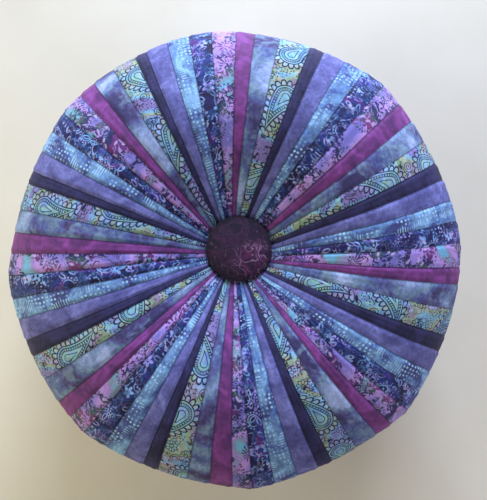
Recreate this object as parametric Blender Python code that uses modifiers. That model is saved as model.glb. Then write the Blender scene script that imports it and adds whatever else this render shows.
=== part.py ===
"""Round patchwork tuffet: a filled cushion with a pieced cover, a covered button drawn into
its top and a plain round of cloth under it. Metres, +Z up. The origin is the middle of the
base, at floor level. Bearings are degrees clockwise from +Y, seen from above."""

import math
from collections import namedtuple

import bpy
import numpy as np
from mathutils import Vector

# Driving sizes
WIDEST_RADIUS = 0.2285
WIDEST_HEIGHT = 0.130
CREST_RADIUS = 0.130
CREST_HEIGHT = 0.230
DIMPLE_FLOOR = 0.192
BUTTON_RADIUS = 0.03175
BUTTON_THICKNESS = 0.013
BUTTON_EDGE_HEIGHT = 0.0042
BUTTON_CENTRE = Vector((0.004, 0.012))
BASE_RADIUS = 0.172
BASE_THICKNESS = 0.002
CLEARANCE = 0.0003
UNDERSIDE = BASE_THICKNESS + CLEARANCE

# The cushion's half section, from the edge of the dimple's floor over the crown and down to
# the edge of the flat underside. steps is the number of rings up to the next station.
Station = namedtuple("Station", "name radius height steps")
HALF_SECTION = (
    Station("dimple_edge", 0.0290, DIMPLE_FLOOR, 1),
    Station("button_rim", 0.0370, 0.1995, 1),
    Station("dish_low", 0.0520, 0.2075, 2),
    Station("dish_high", 0.0800, 0.2196, 2),
    Station("crown_inner", 0.1040, 0.2268, 1),
    Station("crest", CREST_RADIUS, CREST_HEIGHT, 1),
    Station("crown_outer", 0.1640, 0.2254, 2),
    Station("shoulder_top", 0.1950, 0.2151, 1),
    Station("shoulder_turn", 0.2120, 0.2020, 1),
    Station("shoulder_low", 0.2225, 0.1855, 1),
    Station("side_high", 0.2275, 0.1600, 1),
    Station("widest", WIDEST_RADIUS, WIDEST_HEIGHT, 1),
    Station("side_low", 0.2262, 0.0880, 1),
    Station("belly", 0.2175, 0.0480, 2),
    Station("tuck", 0.2010, 0.0165, 2),
    Station("base_edge", 0.1800, UNDERSIDE, 0),
)

# The eight pieced sections, clockwise. seam_out and mid_out are how far the outline stands
# out at the section's first seam and at its middle. The rest are the strips' widths at the
# widest girth, in degrees.
FIRST_SEAM_BEARING = -6.0
CLOTHS = "blossom magenta marble paisley aubergine lavender dashes vine"
Section = namedtuple("Section", "seam_out mid_out " + CLOTHS)
SECTIONS = (
    Section(0.0040, 0.0000, 6.2, 4.7, 6.4, 8.0, 3.6, 5.7, 5.4, 6.0),
    Section(0.0035, -0.0035, 5.9, 5.4, 6.1, 6.4, 4.6, 5.7, 5.4, 5.7),
    Section(0.0005, -0.0030, 6.3, 4.4, 6.5, 7.1, 4.3, 5.7, 5.7, 5.7),
    Section(0.0025, -0.0030, 5.4, 4.6, 6.2, 7.3, 3.9, 5.8, 6.1, 5.5),
    Section(0.0035, -0.0025, 5.2, 5.9, 5.9, 7.9, 3.9, 5.4, 5.7, 6.0),
    Section(0.0035, -0.0015, 5.2, 4.8, 6.8, 6.6, 4.5, 5.7, 5.4, 6.0),
    Section(0.0015, -0.0055, 5.6, 5.4, 6.0, 7.0, 3.4, 5.6, 5.8, 5.4),
    Section(0.0005, 0.0005, 6.1, 4.5, 6.0, 6.4, 3.1, 5.7, 5.7, 5.7),
)

# The strips run towards this place. LEANS are how far they lie clockwise of straight lines to
# it, in millimetres, at each of the radii: two values to a section, at the middle of its
# third and of its seventh strip.
STRIPS_MEET = Vector((-0.0020, 0.0060))
LEAN_RADII = (0.070, 0.130, 0.170, 0.200)
LEANS = (
    (-1.1, -0.1, 3.7, 4.0, 2.4, 2.0, -1.7, -1.9, -0.7, -1.1, -0.3, -0.1, 1.6, 1.4, 0.1, 0.1),
    (0.5, 0.7, 4.2, 5.0, 2.5, 2.0, -0.5, -0.8, -1.0, -1.0, -1.5, -1.2, 0.8, 0.8, -0.1, 0.0),
    (0.5, 0.5, 2.9, 3.4, 2.0, 1.9, -0.6, -0.8, -0.6, -0.8, -1.8, -1.2, -0.1, 0.4, 0.0, 0.0),
    (1.0, 1.2, 1.5, 1.2, 0.5, 0.0, -1.2, -1.5, -1.2, -1.0, -1.2, -1.5, -0.5, 0.0, 0.7, 0.7),
)
FIRST_LEAN_STRIP = 2.5
STRIPS_PER_LEAN = 4
LEAN_ENDS_HEIGHT = 0.030

# Sewn channels: one column of points in each seam and two on the strip beside it
COLUMNS_PER_STRIP = 3
CHANNEL_HALF_WIDTH = 0.0032
STRIP_CHANNEL_DEPTH = 0.0014
SECTION_CHANNEL_DEPTH = 0.0024
CHANNEL_STARTS_RADIUS = 0.031
CHANNEL_FULL_RADIUS = 0.048

BUTTON_STEPS = 48
BUTTON_DOME_RINGS = 7
BASE_STEPS = 96

# Base colour and roughness
CLOTH_LOOKS = {
    "patchwork": ((0.16, 0.13, 0.33, 1.0), 0.85),
    "button_cloth": ((0.05, 0.012, 0.045, 1.0), 0.80),
    "base_cloth": ((0.028, 0.022, 0.045, 1.0), 0.90),
}

Strip = namedtuple("Strip", "section in_section bearing width")


def clear_scene():
    for obj in list(bpy.data.objects):
        bpy.data.objects.remove(obj, do_unlink=True)


def collection_named(name):
    collection = bpy.data.collections.new(name)
    bpy.context.scene.collection.children.link(collection)
    return collection


def cloth(name):
    colour, roughness = CLOTH_LOOKS[name]
    material = bpy.data.materials.new(name)
    material.use_nodes = True
    shader = material.node_tree.nodes["Principled BSDF"]
    shader.inputs["Base Color"].default_value = colour
    shader.inputs["Roughness"].default_value = roughness
    shader.inputs["Metallic"].default_value = 0.0
    return material


def smooth_step(value, low, high):
    t = min(max((value - low) / (high - low), 0.0), 1.0)
    return t * t * (3.0 - 2.0 * t)


def curve_point(before, start, end, after, t):
    """A point on the Catmull-Rom curve between start and end."""
    return 0.5 * (
        2.0 * start
        + (end - before) * t
        + (2.0 * before - 5.0 * start + 4.0 * end - after) * t**2
        + (3.0 * start - before - 3.0 * end + after) * t**3
    )


def smooth_half_section():
    """The cushion's (radius, height) points, from the axis round to the axis."""
    knots = [Vector((station.radius, station.height)) for station in HALF_SECTION]
    knots = [2.0 * knots[0] - knots[1]] + knots + [2.0 * knots[-1] - knots[-2]]
    points = [Vector((0.0, DIMPLE_FLOOR))]
    for index, station in enumerate(HALF_SECTION):
        for step in range(station.steps):
            points.append(curve_point(*knots[index : index + 4], step / station.steps))
    return points + [knots[-2], Vector((0.0, UNDERSIDE))]


def strip_widths(section):
    return section[len(section) - len(CLOTHS.split()) :]


def all_strips():
    strips = []
    bearing = FIRST_SEAM_BEARING
    for number, section in enumerate(SECTIONS):
        for place, width in enumerate(strip_widths(section)):
            strips.append(Strip(number, place, bearing, width))
            bearing += width
    return strips


def share_of_section(strip, bearing):
    """How far across its section a bearing on the strip lies, from 0 to 1."""
    widths = strip_widths(SECTIONS[strip.section])
    first = strip.bearing - sum(widths[: strip.in_section])
    return (bearing - first) / sum(widths)


def outline_swell(section, following, share):
    """How far the outline stands out. It sags between one section's seam and the next."""
    chord = section.seam_out * (1.0 - share) + following.seam_out * share
    sag = 0.5 * (section.seam_out + following.seam_out) - section.mid_out
    return chord - 4.0 * share * (1.0 - share) * sag


def clockwise_part(place, bearing):
    """How far a place lies to the clockwise side of a line from the axis along a bearing."""
    angle = math.radians(bearing)
    return place.x * math.cos(angle) - place.y * math.sin(angle)


def lean(strip_place, radius):
    """How far a strip lies clockwise of a straight one. strip_place counts strips."""
    turn, share = divmod((strip_place - FIRST_LEAN_STRIP) / STRIPS_PER_LEAN, 1.0)
    first = int(turn) % len(LEANS[0])
    following = (first + 1) % len(LEANS[0])
    values = [row[first] * (1.0 - share) + row[following] * share for row in LEANS]
    return 0.001 * float(np.interp(radius, LEAN_RADII, values))


def leaned_bearing(bearing, strip_place, radius, centre):
    """A strip's bearing at a radius on the top, about that ring's own centre."""
    held = max(radius, BUTTON_RADIUS)
    wanted = clockwise_part(STRIPS_MEET, bearing) * (1.0 - held / WIDEST_RADIUS)
    wanted += lean(strip_place, held) - clockwise_part(centre, bearing)
    return bearing + math.degrees(math.asin(wanted / held))


def across_strip(column, radius, width):
    """The share of a strip's width at which one of its columns of points stands."""
    if column == 0:
        return 0.0
    arc = math.radians(width) * max(radius, BUTTON_RADIUS)
    edge = min(CHANNEL_HALF_WIDTH / arc, 1.0 / COLUMNS_PER_STRIP)
    return edge if column == 1 else 1.0 - edge


def channel_depth(strip, radius):
    depth = SECTION_CHANNEL_DEPTH if strip.in_section == 0 else STRIP_CHANNEL_DEPTH
    return depth * smooth_step(radius, CHANNEL_STARTS_RADIUS, CHANNEL_FULL_RADIUS)


def outward(points, index):
    """The half section's outward direction at one of its points."""
    along = (points[index + 1] - points[index - 1]).normalized()
    return Vector((-along.y, along.x))


def cushion_point(point, normal, strip, column):
    """Where a point of the plain turned form lies on the pieced and drawn-in cushion."""
    radius, height = point
    section = SECTIONS[strip.section]
    following = SECTIONS[(strip.section + 1) % len(SECTIONS)]
    across = across_strip(column, radius, strip.width)
    bearing = strip.bearing + strip.width * across
    strip_place = strip.section * len(strip_widths(section)) + strip.in_section + across
    share = share_of_section(strip, bearing)

    spread = smooth_step(radius, CREST_RADIUS, WIDEST_RADIUS)
    radius += outline_swell(section, following, share) * spread
    if column == 0 and height > UNDERSIDE:
        depth = channel_depth(strip, radius)
        radius -= normal.x * depth
        height -= normal.y * depth

    centre = Vector((0.0, 0.0))
    if point.y > WIDEST_HEIGHT:
        held = max(radius, BUTTON_RADIUS)
        centre = BUTTON_CENTRE * max(0.0, 1.0 - (held / WIDEST_RADIUS) ** 2)
        bearing = leaned_bearing(bearing, strip_place, radius, centre)
    else:
        fade = smooth_step(point.y, LEAN_ENDS_HEIGHT, WIDEST_HEIGHT)
        bearing += math.degrees(lean(strip_place, WIDEST_RADIUS) * fade / radius)
    angle = math.radians(bearing)
    return (
        centre.x + radius * math.sin(angle),
        centre.y + radius * math.cos(angle),
        height,
    )


def turned(name, points, steps):
    """A closed mesh turned about Z from its half section, run from top to bottom."""
    mesh = bpy.data.meshes.new(name + "_section")
    edges = [(index, index + 1) for index in range(len(points) - 1)]
    mesh.from_pydata([(radius, 0.0, height) for radius, height in points], edges, [])
    section = bpy.data.objects.new(name + "_section", mesh)
    bpy.context.scene.collection.objects.link(section)
    screw = section.modifiers.new("turn", "SCREW")
    screw.axis = "Z"
    screw.angle = 2.0 * math.pi
    screw.steps = steps
    screw.render_steps = steps
    screw.use_merge_vertices = True
    screw.merge_threshold = 0.00001
    bpy.context.view_layer.update()
    graph = bpy.context.evaluated_depsgraph_get()
    solid = bpy.data.meshes.new_from_object(section.evaluated_get(graph))
    solid.name = name
    bpy.data.objects.remove(section, do_unlink=True)
    return solid


def add_cushion(collection):
    """The filled cushion: a turned form, then each point moved to its strip and channel."""
    points = smooth_half_section()
    strips = all_strips()
    steps = len(strips) * COLUMNS_PER_STRIP
    mesh = turned("cushion", points, steps)

    levels = np.array([tuple(point) for point in points])
    for vertex in mesh.vertices:
        radius = math.hypot(vertex.co.x, vertex.co.y)
        level = int(np.argmin(np.hypot(levels[:, 0] - radius, levels[:, 1] - vertex.co.z)))
        if level == 0:
            vertex.co.xy = BUTTON_CENTRE
        if level in (0, len(points) - 1):
            continue
        turn = math.atan2(vertex.co.x, vertex.co.y) / (2.0 * math.pi)
        number, column = divmod(round(turn * steps) % steps, COLUMNS_PER_STRIP)
        normal = outward(points, level)
        vertex.co = cushion_point(points[level], normal, strips[number], column)

    cushion = bpy.data.objects.new("cushion", mesh)
    mesh.shade_smooth()
    mesh.materials.append(cloth("patchwork"))
    collection.objects.link(cushion)


def add_button(collection):
    """A cloth-covered button: a low dome, a rolled edge and a flat back."""
    dome_height = BUTTON_THICKNESS - BUTTON_EDGE_HEIGHT
    points = []
    for ring in range(BUTTON_DOME_RINGS + 1):
        angle = 0.5 * math.pi * ring / BUTTON_DOME_RINGS
        rise = dome_height * math.cos(angle)
        points.append((BUTTON_RADIUS * math.sin(angle), BUTTON_EDGE_HEIGHT + rise))
    points.append((BUTTON_RADIUS - 0.0008, 0.5 * BUTTON_EDGE_HEIGHT))
    points.append((BUTTON_RADIUS - 0.0035, 0.0))
    points.append((0.0, 0.0))

    mesh = turned("top_button", points, BUTTON_STEPS)
    button = bpy.data.objects.new("top_button", mesh)
    button.location = (*BUTTON_CENTRE, DIMPLE_FLOOR + CLEARANCE)
    mesh.shade_smooth()
    mesh.materials.append(cloth("button_cloth"))
    collection.objects.link(button)


def add_base_panel(collection):
    """The plain round of cloth that closes the underside."""
    bpy.ops.mesh.primitive_cylinder_add(
        vertices=BASE_STEPS,
        radius=BASE_RADIUS,
        depth=BASE_THICKNESS,
        location=(0.0, 0.0, 0.5 * BASE_THICKNESS),
    )
    panel = bpy.context.active_object
    panel.name = "base_panel"
    panel.data.name = "base_panel"
    panel.data.materials.append(cloth("base_cloth"))
    for owner in list(panel.users_collection):
        owner.objects.unlink(panel)
    collection.objects.link(panel)


def main():
    clear_scene()
    collection = collection_named("tuffet")
    add_cushion(collection)
    add_button(collection)
    add_base_panel(collection)


main()
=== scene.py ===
import math

import bpy
import numpy as np
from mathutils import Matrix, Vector, noise


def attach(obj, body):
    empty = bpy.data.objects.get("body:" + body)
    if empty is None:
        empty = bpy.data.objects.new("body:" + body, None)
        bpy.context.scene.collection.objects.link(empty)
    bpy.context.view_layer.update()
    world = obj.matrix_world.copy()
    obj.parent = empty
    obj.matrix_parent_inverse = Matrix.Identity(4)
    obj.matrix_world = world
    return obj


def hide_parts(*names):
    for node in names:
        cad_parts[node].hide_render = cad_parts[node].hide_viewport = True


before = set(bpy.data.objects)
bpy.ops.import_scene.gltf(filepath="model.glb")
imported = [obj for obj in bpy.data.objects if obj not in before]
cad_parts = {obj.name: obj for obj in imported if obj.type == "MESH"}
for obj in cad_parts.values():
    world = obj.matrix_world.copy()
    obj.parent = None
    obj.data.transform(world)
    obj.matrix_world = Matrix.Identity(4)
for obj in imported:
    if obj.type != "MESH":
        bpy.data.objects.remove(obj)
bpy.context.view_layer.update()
print("frame loaded:", ", ".join(sorted(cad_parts)))


def selectNothing():
    if bpy.context.object and bpy.context.object.mode != "OBJECT":
        bpy.ops.object.mode_set(mode="OBJECT")
    bpy.ops.object.select_all(action="DESELECT")


def makeActive(piece):
    selectNothing()
    piece.select_set(True)
    bpy.context.view_layer.objects.active = piece


def applyModifiers(piece):
    makeActive(piece)
    for modifier in list(piece.modifiers):
        bpy.ops.object.modifier_apply(modifier=modifier.name)


def linearColour(hexCode):
    channels = [int(hexCode[i : i + 2], 16) / 255 for i in (1, 3, 5)]
    return (*[c / 12.92 if c <= 0.04045 else ((c + 0.055) / 1.055) ** 2.4 for c in channels], 1.0)


def addNode(tree, kind, inputs=(), out=0, stops=(), **settings):
    node = tree.nodes.new("ShaderNode" + kind)
    for key, value in settings.items():
        setattr(node, key, value)
    for key, value in inputs.items() if isinstance(inputs, dict) else enumerate(inputs):
        if isinstance(value, bpy.types.NodeSocket):
            tree.links.new(value, node.inputs[key])
        elif value is not None:
            node.inputs[key].default_value = value
    for number, (position, hexCode) in enumerate(stops):
        ramp = node.color_ramp.elements
        stop = ramp[number] if number < 2 else ramp.new(position)
        stop.position = position
        stop.color = linearColour(hexCode)
    return node.outputs[out] if len(node.outputs) else node


# settings that many nodes share
softly = {"interpolation_type": "SMOOTHSTEP"}
flatNoise = {"noise_dimensions": "2D"}
flatCells = {"voronoi_dimensions": "2D"}
multiplied = {"out": 2, "data_type": "RGBA", "blend_type": "MULTIPLY"}


def smoothStep(value, low, high):
    t = np.clip((value - low) / (high - low), 0.0, 1.0)
    return t * t * (3.0 - 2.0 * t)


# Camera: a phone held above the seat, a little to the right and beyond its middle
cameraSettings = {"place": (0.0084, 0.0108, 0.6615), "lens": 35.0}
bpy.ops.object.camera_add(location=cameraSettings["place"], rotation=(0.0, 0.0, 0.0))
camera = bpy.context.object
camera.name = "camera"
camera.data.lens = cameraSettings["lens"]
camera.data.clip_start = 0.02
bpy.context.scene.camera = camera

# The cover: its form, its strips, how it is filled and how it is sewn
cover = {
    # half section, from the edge of the dimple's floor over the crown to the base's edge
    "halfSection": [
        (0.0290, 0.1920), (0.0370, 0.1995), (0.0520, 0.2075), (0.0800, 0.2196),
        (0.1040, 0.2268), (0.1300, 0.2300), (0.1640, 0.2254), (0.1950, 0.2151),
        (0.2120, 0.2020), (0.2225, 0.1855), (0.2275, 0.1600), (0.2285, 0.1300),
        (0.2262, 0.0880), (0.2175, 0.0480), (0.2010, 0.0165), (0.1800, 0.0023),
    ],
    "crestRadius": 0.130,
    "widestRadius": 0.2285,
    "widestHeight": 0.130,
    "underside": 0.0023,
    "buttonRadius": 0.03175,
    "buttonCentre": (0.004, 0.012),
    "firstSeam": -6.0,
    # how far the outline stands out at each section's first seam and at its middle, then the
    # eight strips' widths at the widest girth, in degrees
    "sections": [
        (0.0040, 0.0000, 6.2, 4.7, 6.4, 8.0, 3.6, 5.7, 5.4, 6.0),
        (0.0035, -0.0035, 5.9, 5.4, 6.1, 6.4, 4.6, 5.7, 5.4, 5.7),
        (0.0005, -0.0030, 6.3, 4.4, 6.5, 7.1, 4.3, 5.7, 5.7, 5.7),
        (0.0025, -0.0030, 5.4, 4.6, 6.2, 7.3, 3.9, 5.8, 6.1, 5.5),
        (0.0035, -0.0025, 5.2, 5.9, 5.9, 7.9, 3.9, 5.4, 5.7, 6.0),
        (0.0035, -0.0015, 5.2, 4.8, 6.8, 6.6, 4.5, 5.7, 5.4, 6.0),
        (0.0015, -0.0055, 5.6, 5.4, 6.0, 7.0, 3.4, 5.6, 5.8, 5.4),
        (0.0005, 0.0005, 6.1, 4.5, 6.0, 6.4, 3.1, 5.7, 5.7, 5.7),
    ],
    # the strips run towards stripsMeet. leans are how far they lie clockwise of straight lines
    # to it, in millimetres at each of leanRadii, four strips from one value to the next
    "stripsMeet": (-0.0020, 0.0060),
    "leanRadii": (0.070, 0.130, 0.170, 0.200),
    "leans": [
        (-1.1, -0.1, 3.7, 4.0, 2.4, 2.0, -1.7, -1.9, -0.7, -1.1, -0.3, -0.1, 1.6, 1.4, 0.1, 0.1),
        (0.5, 0.7, 4.2, 5.0, 2.5, 2.0, -0.5, -0.8, -1.0, -1.0, -1.5, -1.2, 0.8, 0.8, -0.1, 0.0),
        (0.5, 0.5, 2.9, 3.4, 2.0, 1.9, -0.6, -0.8, -0.6, -0.8, -1.8, -1.2, -0.1, 0.4, 0.0, 0.0),
        (1.0, 1.2, 1.5, 1.2, 0.5, 0.0, -1.2, -1.5, -1.2, -1.0, -1.2, -1.5, -0.5, 0.0, 0.7, 0.7),
    ],
    "firstLeanStrip": 2.5,
    "leanEndsHeight": 0.030,
    "shares": [0.0, 0.09, 0.36, 0.64, 0.91],  # columns of points across a strip
    "ringSpacing": 0.0062,
    "underButton": (0.012, 0.022),  # radii of the rings that the button hides
    "underBase": (0.168, 0.090),  # radii of the rings that the base cloth hides
    "cutStart": 0.5,  # where the first section's strips are cut, along their cloths
    "cutStep": 0.47,  # from one section's strips to the next
    "startInset": 0.0011,  # the cover is laid out this much inside, then filled out
    "pressure": 450.0,  # swells each strip by up to about 1 mm between its seams
    "mostFilling": 0.0011,  # cap on how far the filling may push a point, for taut cotton
    "clothMass": 0.3,
    "clothStiffness": 30.0,
    "simQuality": 5,
    "simFrames": 20,
    "heldRings": 4,  # rings of points held still at either end
    "seamCrease": 0.55,
    "seamDepth": 0.0006,
    "sectionSeamDepth": 0.0010,
    "seamReach": 0.0013,
    "pressedSide": 0.0004,  # seam allowances pressed to one side lift that strip's edge
    "pressedWidth": 0.0055,
    "puckers": 0.0005,
    "puckerReach": 0.004,
    "puckerSpacing": 5.0,  # millimetres along a seam
    "wrinkles": 0.0008,
    "wrinkleSize": (42.0, 42.0, 26.0),  # millimetres
}

sections = np.array(cover["sections"])
stripWidth = sections[:, 2:].ravel()
stripStart = cover["firstSeam"] + np.concatenate([[0.0], np.cumsum(stripWidth)[:-1]])
stripCount = len(stripWidth)
perSection = stripCount // len(sections)


def halfSectionPoints(knots, spacing):
    knots = np.array(knots)
    ends = np.vstack([2 * knots[0] - knots[1], knots, 2 * knots[-1] - knots[-2]])
    t = np.linspace(0.0, 1.0, 60, endpoint=False)[:, None]
    fine = [
        0.5 * (2 * b + (c - a) * t + (2 * a - 5 * b + 4 * c - d) * t**2 + (3 * b - a - 3 * c + d) * t**3)
        for a, b, c, d in zip(ends, ends[1:], ends[2:], ends[3:])
    ]
    fine = np.vstack(fine + [knots[-1:]])
    along = np.concatenate([[0.0], np.cumsum(np.hypot(*np.diff(fine, axis=0).T))])
    steps = np.linspace(0.0, along[-1], round(along[-1] / spacing) + 1)
    return np.column_stack([np.interp(steps, along, fine[:, 0]), np.interp(steps, along, fine[:, 1])])


def leanOf(stripPlace, radius):
    # how far a strip lies clockwise of a straight one, in metres
    rows = np.array(cover["leans"]) * 0.001
    radii = np.array(cover["leanRadii"])
    count = rows.shape[1]
    turn = (stripPlace - cover["firstLeanStrip"]) * count / stripCount
    first = np.floor(turn).astype(int)
    part = turn - first
    here = first % count
    after = (first + 1) % count
    level = np.clip(np.searchsorted(radii, radius) - 1, 0, len(radii) - 2)
    rise = np.clip((radius - radii[level]) / (radii[level + 1] - radii[level]), 0.0, 1.0)
    lower = rows[level, here] * (1 - part) + rows[level, after] * part
    upper = rows[level + 1, here] * (1 - part) + rows[level + 1, after] * part
    return lower * (1 - rise) + upper * rise


def coverPoints(radius, height, strip, share):
    # where a point of the plain turned form lies on the pieced and drawn-in cover
    section = strip // perSection
    following = (section + 1) % len(sections)
    bearing = stripStart[strip] + stripWidth[strip] * share
    first = stripStart[section * perSection]
    across = (bearing - first) / sections[:, 2:].sum(axis=1)[section]
    seamOut = sections[section, 0] * (1 - across) + sections[following, 0] * across
    sag = 0.5 * (sections[section, 0] + sections[following, 0]) - sections[section, 1]
    spread = smoothStep(radius, cover["crestRadius"], cover["widestRadius"])
    swollen = radius + (seamOut - 4 * across * (1 - across) * sag) * spread

    angle = np.radians(bearing)
    sine = np.sin(angle)
    cosine = np.cos(angle)
    held = np.maximum(swollen, cover["buttonRadius"])
    onTop = height > cover["widestHeight"]
    shift = np.where(onTop, np.maximum(0.0, 1 - (held / cover["widestRadius"]) ** 2), 0.0)
    centre = np.outer(shift, cover["buttonCentre"])
    meet = cover["stripsMeet"]
    wanted = (meet[0] * cosine - meet[1] * sine) * (1 - held / cover["widestRadius"])
    wanted += leanOf(strip + share, held) - (centre[:, 0] * cosine - centre[:, 1] * sine)
    fade = smoothStep(height, cover["leanEndsHeight"], cover["widestHeight"])
    below = leanOf(strip + share, np.full(len(strip), cover["widestRadius"])) * fade
    angle = angle + np.where(onTop, np.arcsin(wanted / held), below / swollen)
    x = centre[:, 0] + swollen * np.sin(angle)
    y = centre[:, 1] + swollen * np.cos(angle)
    return np.column_stack([x, y, height])


def layOutCover():
    # the strips as one closed cover: rings from the dimple to the underside, columns across strips
    section = halfSectionPoints(cover["halfSection"], cover["ringSpacing"])
    tangent = np.gradient(section, axis=0)
    tangent /= np.linalg.norm(tangent, axis=1)[:, None]
    inset = np.column_stack([tangent[:, 1], -tangent[:, 0]]) * cover["startInset"]
    inset[:2] = 0.0
    inset[-3:] = 0.0
    inner = [(radius, section[0, 1]) for radius in cover["underButton"]]
    lining = [(radius, cover["underside"]) for radius in cover["underBase"]]
    rings = np.vstack([inner, section + inset, lining])
    along = np.concatenate([[0.0], np.cumsum(np.hypot(*np.diff(rings, axis=0).T))])
    along += rings[0, 0]

    shares = np.array(cover["shares"])
    perStrip = len(shares)
    columns = stripCount * perStrip
    column = np.arange(columns)
    strip = column // perStrip
    share = shares[column % perStrip]
    points = [
        coverPoints(np.full(columns, r), np.full(columns, h), strip, share) for r, h in rings
    ]
    points = np.vstack(points)

    nextColumn = (column + 1) % columns
    faces = []
    uvs = []
    gaps = []
    marks = []
    shareEnd = np.where(share[nextColumn] == 0.0, 1.0, share[nextColumn])
    ringWidth = np.radians(stripWidth[strip])[None, :] * np.maximum(rings[:, 0], 0.0)[:, None]
    uStart = cover["cutStart"] + cover["cutStep"] * (strip // perSection)
    for ring in range(len(rings) - 1):
        a = ring * columns + column
        b = ring * columns + nextColumn
        faces.append(np.column_stack([a, b, b + columns, a + columns]))
        wide = ringWidth[ring]
        wider = ringWidth[ring + 1]
        u0 = uStart + along[ring]
        u1 = uStart + along[ring + 1]
        corner = [
            (u0, (share - 0.5) * wide, share * wide, (1 - share) * wide),
            (u0, (shareEnd - 0.5) * wide, shareEnd * wide, (1 - shareEnd) * wide),
            (u1, (shareEnd - 0.5) * wider, shareEnd * wider, (1 - shareEnd) * wider),
            (u1, (share - 0.5) * wider, share * wider, (1 - share) * wider),
        ]
        corner = np.array(corner)  # by corner, value and column
        uvs.append(corner[:, :2, :].transpose(2, 0, 1).reshape(-1, 2))
        gaps.append(corner[:, 2:, :].transpose(2, 0, 1).reshape(-1, 2))
        marks.append(strip % perSection if ring < len(rings) - 2 else np.full(columns, perSection))

    mesh = bpy.data.meshes.new("patchworkCushion")
    mesh.from_pydata(points.tolist(), [], np.vstack(faces).tolist())
    for name, values in (("cloth", np.vstack(uvs)), ("seams", np.vstack(gaps))):
        layer = mesh.uv_layers.new(name=name)
        layer.data.foreach_set("uv", values.astype(np.float32).ravel())
    mesh.polygons.foreach_set("material_index", np.concatenate(marks).astype(np.int32))
    mesh.update()
    piece = bpy.data.objects.new("patchworkCushion", mesh)
    bpy.context.scene.collection.objects.link(piece)
    ends = cover["heldRings"] * columns
    held = np.flatnonzero(np.tile(share, len(rings)) == 0.0).tolist()
    held += list(range(ends)) + list(range(len(points) - ends, len(points)))
    group = piece.vertex_groups.new(name="sewn")
    group.add(sorted(set(held)), 1.0, "REPLACE")
    return piece


def vertexArray(mesh, name="vertices", field="co"):
    values = np.zeros(len(getattr(mesh, name)) * 3, np.float32)
    getattr(mesh, name).foreach_get(field, values)
    return values.reshape(-1, 3).astype(float)


def fillCover(piece):
    # the filling presses the cloth out between the sewn lines, as a cloth simulation
    start = vertexArray(piece.data)
    makeActive(piece)
    cloth = piece.modifiers.new("filling", "CLOTH")
    cloth.settings.vertex_group_mass = "sewn"
    cloth.settings.use_pressure = True
    cloth.settings.uniform_pressure_force = cover["pressure"]
    cloth.settings.effector_weights.gravity = 0.0
    cloth.settings.quality = cover["simQuality"]
    cloth.settings.mass = cover["clothMass"]
    cloth.settings.tension_stiffness = cover["clothStiffness"]
    cloth.collision_settings.use_self_collision = False
    cloth.point_cache.frame_start = 1
    cloth.point_cache.frame_end = cover["simFrames"]
    for step in range(1, cover["simFrames"] + 1):
        bpy.context.scene.frame_set(step)
    applyModifiers(piece)
    bpy.context.scene.frame_set(1)
    moved = vertexArray(piece.data) - start
    far = np.linalg.norm(moved, axis=1)
    keep = np.minimum(1.0, cover["mostFilling"] / np.maximum(far, 1e-9))
    piece.data.vertices.foreach_set("co", (start + moved * keep[:, None]).astype(np.float32).ravel())
    piece.data.update()
    typical = np.median(far[far > 1e-6])
    print(f"filling: pressed out up to {far.max() * 1000:.1f} mm, {typical * 1000:.2f} mm typical")


cushion = layOutCover()
print("cover laid out:", len(cushion.data.vertices), "points")
fillCover(cushion)

# one subdivision, with the seams kept as firm lines
mesh = cushion.data
creases = mesh.attributes.new("crease_edge", "FLOAT", "EDGE")
sewn = np.zeros(len(mesh.vertices), bool)
sewn[:: len(cover["shares"])] = True
ends = np.zeros(len(mesh.edges) * 2, np.int32)
mesh.edges.foreach_get("vertices", ends)
ends = ends.reshape(-1, 2)
alongSeam = sewn[ends].all(axis=1)
creases.data.foreach_set("value", np.where(alongSeam, cover["seamCrease"], 0.0).astype(np.float32))
smoother = cushion.modifiers.new("smoother", "SUBSURF")
smoother.levels = smoother.render_levels = 1
smoother.uv_smooth = "NONE"
applyModifiers(cushion)
cushion.vertex_groups.clear()

# the two ends are closed under the button and under the base cloth
bpy.ops.object.mode_set(mode="EDIT")
bpy.ops.mesh.select_all(action="SELECT")
bpy.ops.mesh.fill_holes(sides=0)
bpy.ops.mesh.select_mode(type="FACE")
bpy.ops.mesh.select_all(action="DESELECT")
bpy.ops.mesh.select_face_by_sides(number=4, type="GREATER", extend=False)
bpy.ops.mesh.poke()
bpy.ops.object.mode_set(mode="OBJECT")


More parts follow.
